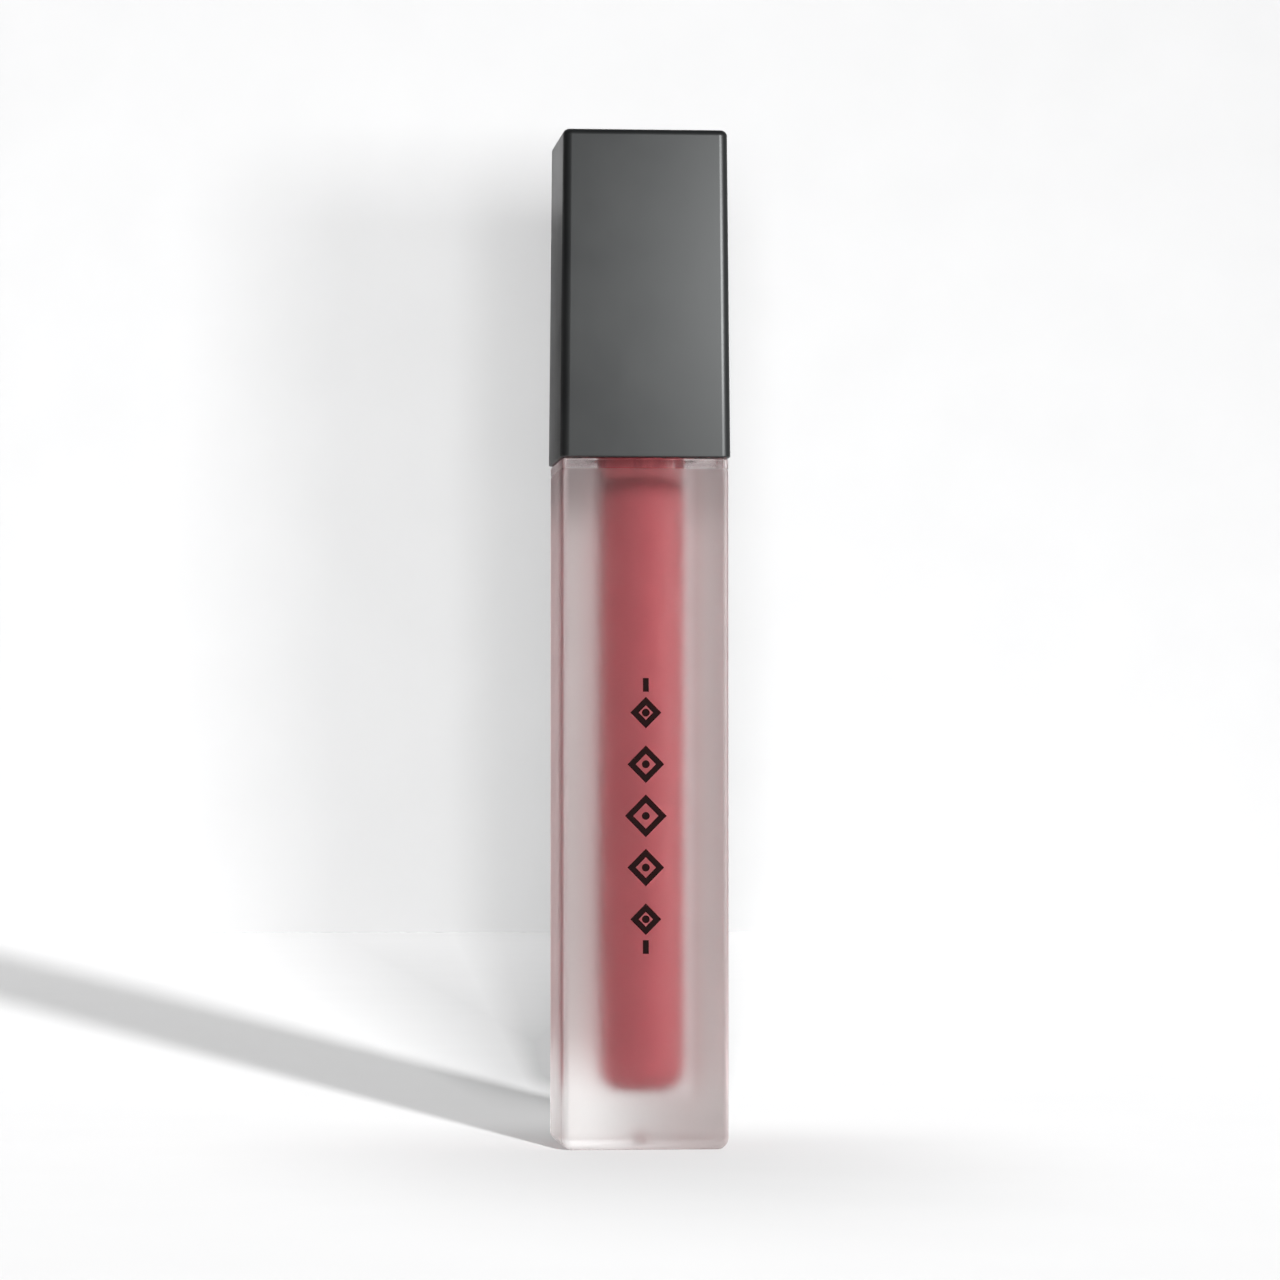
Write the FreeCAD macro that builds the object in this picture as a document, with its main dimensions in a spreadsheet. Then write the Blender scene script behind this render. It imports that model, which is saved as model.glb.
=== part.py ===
import FreeCAD, Part
import ast
import math
import os
import Sketcher

# Square liquid-lipstick tube with a screw cap and applicator wand. Millimetres, +Z up.
# Origin: centre of the base, on the plane that the tube stands on. The front face looks along -Y.

doc = FreeCAD.newDocument("liquid_lipstick_tube")
sheet = doc.addObject("Spreadsheet::Sheet", "sizes")

SIZES = [
    # bottle, outside
    ("bottle_side", 17.2, "side of the square bottle"),
    ("bottle_height", 71.0, "base to shoulder"),
    ("bottle_edge_r", 0.75, "upright edges"),
    ("bottle_foot_r", 1.2, "edges round the base"),
    ("shoulder_edge_r", 0.22, "edges round the shoulder"),
    ("band_height", 1.0, "clear band under the cap, down to the parting groove"),
    ("groove_width", 0.16, "parting groove, along Z"),
    ("groove_depth", 0.12, "parting groove, into the wall"),
    ("base_recess_r", 5.6, "shallow recess in the base"),
    ("base_recess_depth", 0.25, "shallow recess in the base"),
    ("gate_r", 0.95, "moulding gate well at the middle of the base"),
    ("gate_depth", 1.75, "moulding gate well, from the base plane"),
    # bottle, inside
    ("cavity_r", 4.5, "round cavity and neck bore"),
    ("cavity_floor", 5.8, "thickness of the solid base"),
    ("cavity_floor_r", 2.4, "rounding at the cavity floor"),
    # neck
    ("neck_r", 5.3, "thread root on the neck"),
    ("neck_bead_r", 5.85, "bead at the foot of the neck"),
    ("neck_bead_top", 71.9, "top of the bead"),
    ("neck_top", 83.2, "rim of the neck"),
    ("thread_pitch", 3.0, "rise of the thread in one turn"),
    ("thread_turns", 1.5, "turns of the thread"),
    ("thread_height", 0.55, "ridge above its root"),
    ("thread_foot", 1.1, "width of the ridge at its root"),
    ("thread_crest", 0.4, "width of the ridge at its crest"),
    ("neck_thread_z", 74.6, "where the neck's ridge starts"),
    # wiper
    ("wiper_r", 4.45, "outside of the wiper's sleeve"),
    ("wiper_wall", 0.7, "wall of the sleeve"),
    ("wiper_flange_r", 4.95, "flange on the neck's rim"),
    ("wiper_flange", 0.7, "thickness of the flange"),
    ("wiper_bottom", 72.6, "lower end"),
    ("wiper_cone", 3.2, "height of the tapered end"),
    ("wiper_orifice_r", 2.4, "opening that strips the wand"),
    # liquid
    ("liquid_gap", 0.02, "liquid to wall"),
    ("liquid_level", 68.9, "fill level"),
    ("liquid_bore_r", 2.45, "space that the wand displaces"),
    ("wand_well", 7.2, "bottom of the space that the wand displaces"),
    # outer cap
    ("cap_bottom", 71.12, "rim of the cap"),
    ("cap_top", 105.0, "top of the cap"),
    ("cap_side_low", 17.6, "side at the rim"),
    ("cap_side_high", 17.0, "side at the top, smaller for draft"),
    ("cap_edge_r", 0.9, "upright edges"),
    ("cap_top_r", 0.6, "edges round the top"),
    ("cap_rim_r", 0.15, "edges round the rim"),
    ("cap_hollow", 14.9, "side of the square hollow"),
    ("cap_roof", 1.4, "thickness of the top wall"),
    ("cap_rib", 0.35, "crush ribs in the hollow, height"),
    ("cap_rib_w", 0.9, "crush ribs, width"),
    # inner cap
    ("liner_bottom", 72.1, "lower end of the threaded skirt"),
    ("liner_r", 7.3, "outside of the skirt"),
    ("liner_bore_r", 6.55, "thread root in the skirt"),
    ("liner_ceiling", 84.9, "underside of the ceiling"),
    ("liner_roof", 1.6, "thickness of the ceiling"),
    ("liner_flange", 14.8, "side of the two square flanges"),
    ("liner_flange_t", 1.3, "thickness of the square flanges"),
    ("liner_thread_z", 76.1, "where the skirt's ridge starts"),
    ("socket_bore_r", 2.55, "stem socket, inside"),
    ("socket_r", 4.0, "stem socket, outside"),
    ("socket_top", 92.6, "top of the stem socket"),
    ("socket_depth_top", 91.6, "end of the socket's bore"),
    ("gusset_t", 0.9, "thickness of the socket's gussets"),
    # seal ring
    ("seal_bottom", 83.95, "underside"),
    ("seal_t", 0.88, "thickness"),
    ("seal_in_r", 2.05, "inside"),
    ("seal_out_r", 5.6, "outside"),
    # stem
    ("stem_r", 1.9, "rod"),
    ("stem_bottom", 27.0, "end of the rod"),
    ("stem_plug_r", 2.5, "plug in the socket"),
    ("stem_plug_bottom", 84.98, "shoulder under the plug"),
    ("stem_plug_top", 91.4, "end of the plug"),
    ("stem_bore_r", 1.02, "bore for the tip's plug"),
    ("stem_bore_depth", 8.0, "bore for the tip's plug"),
    # applicator
    ("tip_r", 1.7, "core of the tip"),
    ("tip_end", 9.0, "lowest point of the core"),
    ("tip_plug_r", 0.98, "plug in the stem"),
    ("tip_plug_len", 7.7, "plug in the stem"),
    ("tip_slant_top", 22.0, "where the slanted face starts"),
    ("tip_slant_x", 0.55, "how far past the axis the slanted face ends"),
    # flock
    ("flock_t", 0.42, "depth of the flock"),
    ("flock_top", 25.4, "upper end of the flock"),
]
for row, (name, value, note) in enumerate(SIZES, 1):
    sheet.set("A%d" % row, name)
    sheet.set("B%d" % row, str(value))
    sheet.setAlias("B%d" % row, name)
    sheet.set("C%d" % row, note)
doc.recompute()


def size(name):
    return float(sheet.get(name))


def plane(body, role):
    for f in body.Origin.OriginFeatures:
        if f.Role == role:
            return f


def value(expr):
    """Number that an expression over the sheet's names gives, used to draw a sketch near its solved shape."""
    text = expr
    for name in sorted((s[0] for s in SIZES), key=len, reverse=True):
        text = text.replace("sizes." + name, "(%r)" % size(name))

    def work(node):
        if isinstance(node, ast.Constant):
            return float(node.value)
        if isinstance(node, ast.UnaryOp):
            return -work(node.operand)
        a, b = work(node.left), work(node.right)
        if isinstance(node.op, ast.Add):
            return a + b
        if isinstance(node.op, ast.Sub):
            return a - b
        if isinstance(node.op, ast.Mult):
            return a * b
        return a / b

    return work(ast.parse(text, mode="eval").body)


def new_body(name):
    b = doc.addObject("PartDesign::Body", name)
    b.Label = name
    return b


def sketch(body, name, role, offset=None):
    s = body.newObject("Sketcher::SketchObject", name)
    s.AttachmentSupport = (plane(body, role), [""])
    s.MapMode = "FlatFace"
    if offset is not None:
        s.setExpression("AttachmentOffset.Base.z", offset)
    return s


def bind(s, index, expr):
    s.setExpression("Constraints[%d]" % index, expr)


def square(s, side):
    """Square centred on the sketch's origin, with its side bound to an expression."""
    a = value(side) / 2
    p = [(-a, -a), (a, -a), (a, a), (-a, a)]
    g = []
    for i in range(4):
        q = p[(i + 1) % 4]
        g.append(s.addGeometry(Part.LineSegment(FreeCAD.Vector(*p[i], 0), FreeCAD.Vector(*q, 0)), False))
    for i in range(4):
        s.addConstraint(Sketcher.Constraint("Coincident", g[i], 2, g[(i + 1) % 4], 1))
    s.addConstraint(Sketcher.Constraint("Horizontal", g[0]))
    s.addConstraint(Sketcher.Constraint("Horizontal", g[2]))
    s.addConstraint(Sketcher.Constraint("Vertical", g[1]))
    s.addConstraint(Sketcher.Constraint("Vertical", g[3]))
    s.addConstraint(Sketcher.Constraint("Symmetric", g[0], 1, g[2], 1, -1, 1))
    bind(s, s.addConstraint(Sketcher.Constraint("DistanceX", g[0], 1, g[0], 2, 2 * a)), side)
    bind(s, s.addConstraint(Sketcher.Constraint("DistanceY", g[1], 1, g[1], 2, 2 * a)), side)


def rounded_square(s, side, radius):
    """Square with rounded corners, centred on the sketch's origin."""
    a, r = value(side) / 2, value(radius)
    V = FreeCAD.Vector
    lines = [
        ((-a + r, -a), (a - r, -a)),
        ((a, -a + r), (a, a - r)),
        ((a - r, a), (-a + r, a)),
        ((-a, a - r), (-a, -a + r)),
    ]
    ln = [s.addGeometry(Part.LineSegment(V(*p, 0), V(*q, 0)), False) for p, q in lines]
    centres = [(a - r, -a + r, -90), (a - r, a - r, 0), (-a + r, a - r, 90), (-a + r, -a + r, 180)]
    arcs = []
    for x, y, start in centres:
        circle = Part.Circle(V(x, y, 0), V(0, 0, 1), r)
        arcs.append(s.addGeometry(Part.ArcOfCircle(circle, math.radians(start), math.radians(start + 90)), False))
    for i in range(4):
        s.addConstraint(Sketcher.Constraint("Tangent", ln[i], 2, arcs[i], 1))
        s.addConstraint(Sketcher.Constraint("Tangent", arcs[i], 2, ln[(i + 1) % 4], 1))
    s.addConstraint(Sketcher.Constraint("Horizontal", ln[0]))
    s.addConstraint(Sketcher.Constraint("Horizontal", ln[2]))
    s.addConstraint(Sketcher.Constraint("Vertical", ln[1]))
    s.addConstraint(Sketcher.Constraint("Vertical", ln[3]))
    for i in range(1, 4):
        s.addConstraint(Sketcher.Constraint("Equal", arcs[0], arcs[i]))
    half = "(" + side + ") / 2"
    bind(s, s.addConstraint(Sketcher.Constraint("DistanceX", -1, 1, ln[1], 1, a)), half)
    bind(s, s.addConstraint(Sketcher.Constraint("DistanceY", -1, 1, ln[2], 1, a)), half)
    bind(s, s.addConstraint(Sketcher.Constraint("DistanceX", ln[3], 1, -1, 1, a)), half)
    bind(s, s.addConstraint(Sketcher.Constraint("DistanceY", ln[0], 1, -1, 1, a)), half)
    bind(s, s.addConstraint(Sketcher.Constraint("Radius", arcs[0], r)), radius)


def outline(s, points):
    """Closed polygon. Each corner is two expressions, or None for the sketch's vertical axis."""
    at = [(0.0 if x is None else value(x), value(y)) for x, y in points]
    n = len(at)
    g = []
    for i in range(n):
        p, q = at[i], at[(i + 1) % n]
        g.append(s.addGeometry(Part.LineSegment(FreeCAD.Vector(*p, 0), FreeCAD.Vector(*q, 0)), False))
    for i in range(n):
        s.addConstraint(Sketcher.Constraint("Coincident", g[i], 2, g[(i + 1) % n], 1))
    for i, (x, y) in enumerate(points):
        if x is None:
            s.addConstraint(Sketcher.Constraint("PointOnObject", g[i], 1, -2))
        else:
            bind(s, s.addConstraint(Sketcher.Constraint("DistanceX", -1, 1, g[i], 1, at[i][0])), x)
        bind(s, s.addConstraint(Sketcher.Constraint("DistanceY", -1, 1, g[i], 1, at[i][1])), y)


def circle(s, radius):
    r = value(radius)
    g = s.addGeometry(Part.Circle(FreeCAD.Vector(0, 0, 0), FreeCAD.Vector(0, 0, 1), r), False)
    s.addConstraint(Sketcher.Constraint("Coincident", g, 3, -1, 1))
    bind(s, s.addConstraint(Sketcher.Constraint("Radius", g, r)), radius)


def pad(body, s, length, name):
    f = body.newObject("PartDesign::Pad", name)
    f.Profile = s
    f.Length = value(length)
    f.setExpression("Length", length)
    doc.recompute()
    return f


def pocket(body, s, length, name, reverse=True):
    """reverse cuts towards +Z of an upward sketch."""
    before = body.Shape.Volume
    f = body.newObject("PartDesign::Pocket", name)
    f.Profile = s
    f.Length = value(length)
    f.setExpression("Length", length)
    f.Reversed = reverse
    doc.recompute()
    if not body.Shape.Volume < before - 1e-6:
        raise RuntimeError(name + " cuts nothing")
    return f


def revolve(body, s, name, cut=False):
    before = 0.0 if body.Tip is None else body.Shape.Volume
    f = body.newObject("PartDesign::Groove" if cut else "PartDesign::Revolution", name)
    f.Profile = s
    f.ReferenceAxis = (s, ["V_Axis"])
    f.Angle = 360.0
    doc.recompute()
    after = body.Shape.Volume
    if (cut and not after < before - 1e-6) or (not cut and not after > before + 1e-6):
        raise RuntimeError(name + " changes nothing")
    return f


def helix(body, s, name, pitch, turns):
    before = body.Shape.Volume
    f = body.newObject("PartDesign::AdditiveHelix", name)
    f.Profile = s
    f.ReferenceAxis = (s, ["V_Axis"])
    f.Mode = 1
    f.Pitch = value(pitch)
    f.Turns = value(turns)
    f.setExpression("Pitch", pitch)
    f.setExpression("Turns", turns)
    f.LeftHanded = False
    f.Reversed = False
    doc.recompute()
    if not body.Shape.Volume > before + 1e-6:
        raise RuntimeError(name + " adds nothing")
    return f


def round_edges(body, name, radius, wanted):
    """Fillets each edge of the body's present shape for which wanted(edge) holds."""
    base = body.Tip
    names = ["Edge%d" % (i + 1) for i, e in enumerate(base.Shape.Edges) if wanted(e)]
    if not names:
        raise RuntimeError(name + " finds no edge")
    f = body.newObject("PartDesign::Fillet", name)
    f.Base = (base, names)
    f.Radius = value(radius)
    f.setExpression("Radius", radius)
    doc.recompute()
    return f


def at_z(z, outer=None):
    def test(e):
        b = e.BoundBox
        if abs(b.ZMin - z) > 0.02 or abs(b.ZMax - z) > 0.02:
            return False
        if outer is None:
            return True
        return max(abs(b.XMin), abs(b.XMax), abs(b.YMin), abs(b.YMax)) > outer
    return test


# Bottle: square block, rounded, with a round cavity and a threaded neck.
bottle = new_body("bottle")
s = sketch(bottle, "BottleSquare", "XY_Plane")
rounded_square(s, "sizes.bottle_side", "sizes.bottle_edge_r")
pad(bottle, s, "sizes.bottle_height", "BottleBlock")
round_edges(bottle, "FootRounding", "sizes.bottle_foot_r", at_z(0.0))
round_edges(bottle, "ShoulderRounding", "sizes.shoulder_edge_r", at_z(size("bottle_height")))
s = sketch(bottle, "PartingLoop", "XY_Plane", "sizes.bottle_height - sizes.band_height - sizes.groove_width")
rounded_square(s, "sizes.bottle_side + 2", "sizes.bottle_edge_r + 1")
rounded_square(s, "sizes.bottle_side - 2 * sizes.groove_depth", "sizes.bottle_edge_r - sizes.groove_depth")
pocket(bottle, s, "sizes.groove_width", "PartingGroove")
s = sketch(bottle, "NeckProfile", "XZ_Plane")
outline(s, [
    (None, "sizes.bottle_height - 2"),
    ("sizes.neck_bead_r", "sizes.bottle_height - 2"),
    ("sizes.neck_bead_r", "sizes.neck_bead_top - 0.15"),
    ("sizes.neck_bead_r - 0.15", "sizes.neck_bead_top"),
    ("sizes.neck_r", "sizes.neck_bead_top"),
    ("sizes.neck_r", "sizes.neck_top - 0.3"),
    ("sizes.neck_r - 0.3", "sizes.neck_top"),
    (None, "sizes.neck_top"),
])
revolve(bottle, s, "Neck")
s = sketch(bottle, "NeckRidge", "XZ_Plane")
outline(s, [
    ("sizes.neck_r - 0.1", "sizes.neck_thread_z"),
    ("sizes.neck_r", "sizes.neck_thread_z"),
    ("sizes.neck_r + sizes.thread_height", "sizes.neck_thread_z + (sizes.thread_foot - sizes.thread_crest) / 2"),
    ("sizes.neck_r + sizes.thread_height", "sizes.neck_thread_z + (sizes.thread_foot + sizes.thread_crest) / 2"),
    ("sizes.neck_r", "sizes.neck_thread_z + sizes.thread_foot"),
    ("sizes.neck_r - 0.1", "sizes.neck_thread_z + sizes.thread_foot"),
])
helix(bottle, s, "NeckThread", "sizes.thread_pitch", "sizes.thread_turns")
s = sketch(bottle, "CavityProfile", "XZ_Plane")
outline(s, [
    (None, "sizes.cavity_floor"),
    ("sizes.cavity_r", "sizes.cavity_floor"),
    ("sizes.cavity_r", "sizes.neck_top + 1"),
    (None, "sizes.neck_top + 1"),
])
revolve(bottle, s, "Cavity", cut=True)
round_edges(bottle, "CavityFloorRounding", "sizes.cavity_floor_r", at_z(size("cavity_floor")))
s = sketch(bottle, "BaseProfile", "XZ_Plane")
outline(s, [
    (None, "-1"),
    ("sizes.base_recess_r + 0.25", "-1"),
    ("sizes.base_recess_r + 0.25", "-0.001"),
    ("sizes.base_recess_r", "sizes.base_recess_depth"),
    ("sizes.gate_r + 0.12", "sizes.base_recess_depth"),
    ("sizes.gate_r", "sizes.base_recess_depth + 0.12"),
    ("sizes.gate_r * 0.92", "sizes.gate_depth * 0.6"),
    ("sizes.gate_r * 0.72", "sizes.gate_depth * 0.84"),
    ("sizes.gate_r * 0.38", "sizes.gate_depth * 0.97"),
    (None, "sizes.gate_depth"),
])
revolve(bottle, s, "BaseRecess", cut=True)

# Liquid: fills the cavity to its level, around the space that the wand displaces.
liquid = new_body("lipstick_liquid")
s = sketch(liquid, "LiquidProfile", "XZ_Plane")
outline(s, [
    (None, "sizes.cavity_floor + sizes.liquid_gap"),
    ("sizes.cavity_r - sizes.liquid_gap", "sizes.cavity_floor + sizes.liquid_gap"),
    ("sizes.cavity_r - sizes.liquid_gap", "sizes.liquid_level"),
    ("sizes.liquid_bore_r", "sizes.liquid_level"),
    ("sizes.liquid_bore_r", "sizes.wand_well + 1"),
    ("sizes.liquid_bore_r - 0.5", "sizes.wand_well"),
    (None, "sizes.wand_well"),
])
revolve(liquid, s, "LiquidColumn")
round_edges(liquid, "LiquidFloorRounding", "sizes.cavity_floor_r", at_z(size("cavity_floor") + size("liquid_gap")))

# Wiper: sleeve pressed into the neck, with a flange on the rim and a tapered end.
wiper = new_body("wiper")
s = sketch(wiper, "WiperProfile", "XZ_Plane")
outline(s, [
    ("sizes.wiper_orifice_r", "sizes.wiper_bottom"),
    ("sizes.wiper_orifice_r + 0.45", "sizes.wiper_bottom"),
    ("sizes.wiper_r", "sizes.wiper_bottom + sizes.wiper_cone"),
    ("sizes.wiper_r", "sizes.neck_top + 0.02"),
    ("sizes.wiper_flange_r", "sizes.neck_top + 0.02"),
    ("sizes.wiper_flange_r", "sizes.neck_top + sizes.wiper_flange - 0.15"),
    ("sizes.wiper_flange_r - 0.15", "sizes.neck_top + sizes.wiper_flange"),
    ("sizes.wiper_r - sizes.wiper_wall + 0.25", "sizes.neck_top + sizes.wiper_flange"),
    ("sizes.wiper_r - sizes.wiper_wall", "sizes.neck_top + sizes.wiper_flange - 0.35"),
    ("sizes.wiper_r - sizes.wiper_wall", "sizes.wiper_bottom + sizes.wiper_cone + 0.35"),
    ("sizes.wiper_orifice_r", "sizes.wiper_bottom + 0.8"),
])
revolve(wiper, s, "WiperSleeve")

# Outer cap: square shell that narrows a little towards its top.
outer = new_body("outer_cap")
s = sketch(outer, "CapRim", "XY_Plane", "sizes.cap_bottom")
square(s, "sizes.cap_side_low")
block = pad(outer, s, "sizes.cap_top - sizes.cap_bottom", "CapBlock")
block.setExpression("TaperAngle", "-atan((sizes.cap_side_low - sizes.cap_side_high) / 2 / (sizes.cap_top - sizes.cap_bottom))")
doc.recompute()
round_edges(outer, "CapUprights", "sizes.cap_edge_r", lambda e: e.BoundBox.ZLength > 10)
round_edges(outer, "CapTopRounding", "sizes.cap_top_r", at_z(size("cap_top")))
round_edges(outer, "CapRimRounding", "sizes.cap_rim_r", at_z(size("cap_bottom")))
s = sketch(outer, "CapHollow", "XY_Plane", "sizes.cap_bottom - 1")
rounded_square(s, "sizes.cap_hollow", "0.4")
pocket(outer, s, "sizes.cap_top - sizes.cap_roof - sizes.cap_bottom + 1", "Hollow")

# Inner cap: threaded skirt with two square flanges that key it in the outer cap, and a socket for the stem.
inner = new_body("inner_cap")
s = sketch(inner, "LinerProfile", "XZ_Plane")
outline(s, [
    ("sizes.liner_bore_r + 0.2", "sizes.liner_bottom"),
    ("sizes.liner_r", "sizes.liner_bottom"),
    ("sizes.liner_r", "sizes.liner_ceiling + sizes.liner_roof"),
    ("sizes.socket_r", "sizes.liner_ceiling + sizes.liner_roof"),
    ("sizes.socket_r", "sizes.socket_top - 0.4"),
    ("sizes.socket_r - 0.4", "sizes.socket_top"),
    (None, "sizes.socket_top"),
    (None, "sizes.socket_depth_top"),
    ("sizes.socket_bore_r", "sizes.socket_depth_top"),
    ("sizes.socket_bore_r", "sizes.liner_ceiling"),
    ("sizes.liner_bore_r", "sizes.liner_ceiling"),
    ("sizes.liner_bore_r", "sizes.liner_bottom + 0.2"),
])
revolve(inner, s, "Skirt")
s = sketch(inner, "LinerRidge", "XZ_Plane")
outline(s, [
    ("sizes.liner_bore_r + 0.1", "sizes.liner_thread_z"),
    ("sizes.liner_bore_r + 0.1", "sizes.liner_thread_z + sizes.thread_foot"),
    ("sizes.liner_bore_r", "sizes.liner_thread_z + sizes.thread_foot"),
    ("sizes.liner_bore_r - sizes.thread_height", "sizes.liner_thread_z + (sizes.thread_foot + sizes.thread_crest) / 2"),
    ("sizes.liner_bore_r - sizes.thread_height", "sizes.liner_thread_z + (sizes.thread_foot - sizes.thread_crest) / 2"),
    ("sizes.liner_bore_r", "sizes.liner_thread_z"),
])
helix(inner, s, "LinerThread", "sizes.thread_pitch", "sizes.thread_turns")
for name, z in (
    ("LowFlange", "sizes.liner_bottom + 0.3"),
    ("HighFlange", "sizes.liner_ceiling + sizes.liner_roof - sizes.liner_flange_t"),
):
    s = sketch(inner, name + "Square", "XY_Plane", z)
    rounded_square(s, "sizes.liner_flange", "0.8")
    circle(s, "sizes.liner_r - 0.2")
    pad(inner, s, "sizes.liner_flange_t", name)
for name, role in (("GussetX", "XZ_Plane"), ("GussetY", "YZ_Plane")):
    s = sketch(inner, name + "Profile", role)
    outline(s, [
        ("sizes.socket_r - 0.3", "sizes.liner_ceiling + sizes.liner_roof - 0.3"),
        ("sizes.liner_r - 0.6", "sizes.liner_ceiling + sizes.liner_roof - 0.3"),
        ("sizes.liner_r - 0.6", "sizes.liner_ceiling + sizes.liner_roof + 0.4"),
        ("sizes.socket_r", "sizes.socket_top - 1.4"),
        ("sizes.socket_r - 0.3", "sizes.socket_top - 1.4"),
    ])
    f = inner.newObject("PartDesign::Pad", name)
    f.Profile = s
    f.Length = value("sizes.gusset_t")
    f.setExpression("Length", "sizes.gusset_t")
    f.Midplane = True
    doc.recompute()
    row = inner.newObject("PartDesign::PolarPattern", name + "Pair")
    row.Originals = [f]
    row.Axis = (plane(inner, "Z_Axis"), [""])
    row.Angle = 360.0
    row.Occurrences = 2
    inner.Tip = row
    doc.recompute()

# Seal ring: flat gasket round the stem, between the wiper's flange and the inner cap's ceiling.
seal = new_body("seal_ring")
s = sketch(seal, "SealProfile", "XZ_Plane")
outline(s, [
    ("sizes.seal_in_r", "sizes.seal_bottom"),
    ("sizes.seal_out_r - 0.12", "sizes.seal_bottom"),
    ("sizes.seal_out_r", "sizes.seal_bottom + 0.12"),
    ("sizes.seal_out_r", "sizes.seal_bottom + sizes.seal_t - 0.12"),
    ("sizes.seal_out_r - 0.12", "sizes.seal_bottom + sizes.seal_t"),
    ("sizes.seal_in_r", "sizes.seal_bottom + sizes.seal_t"),
])
revolve(seal, s, "SealDisc")

# Stem: rod with a plug at its top and a bore for the tip at its end.
stem = new_body("stem")
s = sketch(stem, "StemProfile", "XZ_Plane")
outline(s, [
    ("sizes.stem_bore_r", "sizes.stem_bottom"),
    ("sizes.stem_r - 0.25", "sizes.stem_bottom"),
    ("sizes.stem_r", "sizes.stem_bottom + 0.6"),
    ("sizes.stem_r", "sizes.stem_plug_bottom"),
    ("sizes.stem_plug_r", "sizes.stem_plug_bottom"),
    ("sizes.stem_plug_r", "sizes.stem_plug_top - 0.6"),
    ("sizes.stem_plug_r - 0.4", "sizes.stem_plug_top"),
    (None, "sizes.stem_plug_top"),
    (None, "sizes.stem_bottom + sizes.stem_bore_depth + 0.5"),
    ("sizes.stem_bore_r", "sizes.stem_bottom + sizes.stem_bore_depth"),
])
revolve(stem, s, "StemRod")

# Applicator core: round tip with a slanted face, and a plug for the stem.
core = new_body("applicator_core")
s = sketch(core, "CoreProfile", "YZ_Plane")
outline(s, [
    (None, "sizes.tip_end"),
    ("sizes.tip_r * 0.45", "sizes.tip_end + 0.12"),
    ("sizes.tip_r * 0.78", "sizes.tip_end + 0.55"),
    ("sizes.tip_r * 0.95", "sizes.tip_end + 1.2"),
    ("sizes.tip_r", "sizes.tip_end + 2.0"),
    ("sizes.tip_r", "sizes.stem_bottom - 0.4"),
    ("sizes.tip_r - 0.2", "sizes.stem_bottom - 0.05"),
    ("sizes.tip_plug_r", "sizes.stem_bottom - 0.05"),
    ("sizes.tip_plug_r", "sizes.stem_bottom + sizes.tip_plug_len - 0.3"),
    ("sizes.tip_plug_r - 0.25", "sizes.stem_bottom + sizes.tip_plug_len"),
    (None, "sizes.stem_bottom + sizes.tip_plug_len"),
])
revolve(core, s, "CoreRod")
s = sketch(core, "SlantProfile", "XZ_Plane")
outline(s, [
    ("sizes.tip_r + 0.1", "sizes.tip_slant_top"),
    ("sizes.tip_r + 2", "sizes.tip_slant_top"),
    ("sizes.tip_r + 2", "sizes.tip_end - 1"),
    ("-sizes.tip_slant_x", "sizes.tip_end - 1"),
    ("0.35", "sizes.tip_end + 4.5"),
])
before = core.Shape.Volume
f = core.newObject("PartDesign::Pocket", "Slant")
f.Profile = s
f.Length = 4 * size("tip_r")
f.setExpression("Length", "4 * sizes.tip_r")
f.Midplane = True
doc.recompute()
if not core.Shape.Volume < before - 1e-6:
    raise RuntimeError("Slant cuts nothing")

# Flock: even layer round the tip, from a larger tip of the same form with the core taken out.
flock_form = new_body("flock_form")
s = sketch(flock_form, "FlockProfile", "YZ_Plane")
outline(s, [
    (None, "sizes.tip_end - sizes.flock_t"),
    ("(sizes.tip_r + sizes.flock_t) * 0.45", "sizes.tip_end - sizes.flock_t + 0.14"),
    ("(sizes.tip_r + sizes.flock_t) * 0.78", "sizes.tip_end - sizes.flock_t + 0.65"),
    ("(sizes.tip_r + sizes.flock_t) * 0.95", "sizes.tip_end - sizes.flock_t + 1.4"),
    ("sizes.tip_r + sizes.flock_t", "sizes.tip_end - sizes.flock_t + 2.3"),
    ("sizes.tip_r + sizes.flock_t", "sizes.flock_top - 0.5"),
    ("sizes.tip_r + 0.12", "sizes.flock_top"),
    (None, "sizes.flock_top"),
])
revolve(flock_form, s, "FlockRod")
s = sketch(flock_form, "FlockSlantProfile", "XZ_Plane")
outline(s, [
    ("sizes.tip_r + 0.1 + sizes.flock_t", "sizes.tip_slant_top"),
    ("sizes.tip_r + 3", "sizes.tip_slant_top"),
    ("sizes.tip_r + 3", "sizes.tip_end - 2"),
    ("-sizes.tip_slant_x + sizes.flock_t", "sizes.tip_end - 2"),
    ("0.35 + sizes.flock_t", "sizes.tip_end + 4.5"),
])
f = flock_form.newObject("PartDesign::Pocket", "FlockSlant")
f.Profile = s
f.Length = 6 * size("tip_r")
f.setExpression("Length", "6 * sizes.tip_r")
f.Midplane = True
doc.recompute()
flock = doc.addObject("Part::Cut", "flocking")
flock.Label = "flocking"
flock.Base = flock_form
flock.Tool = core
doc.recompute()

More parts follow.
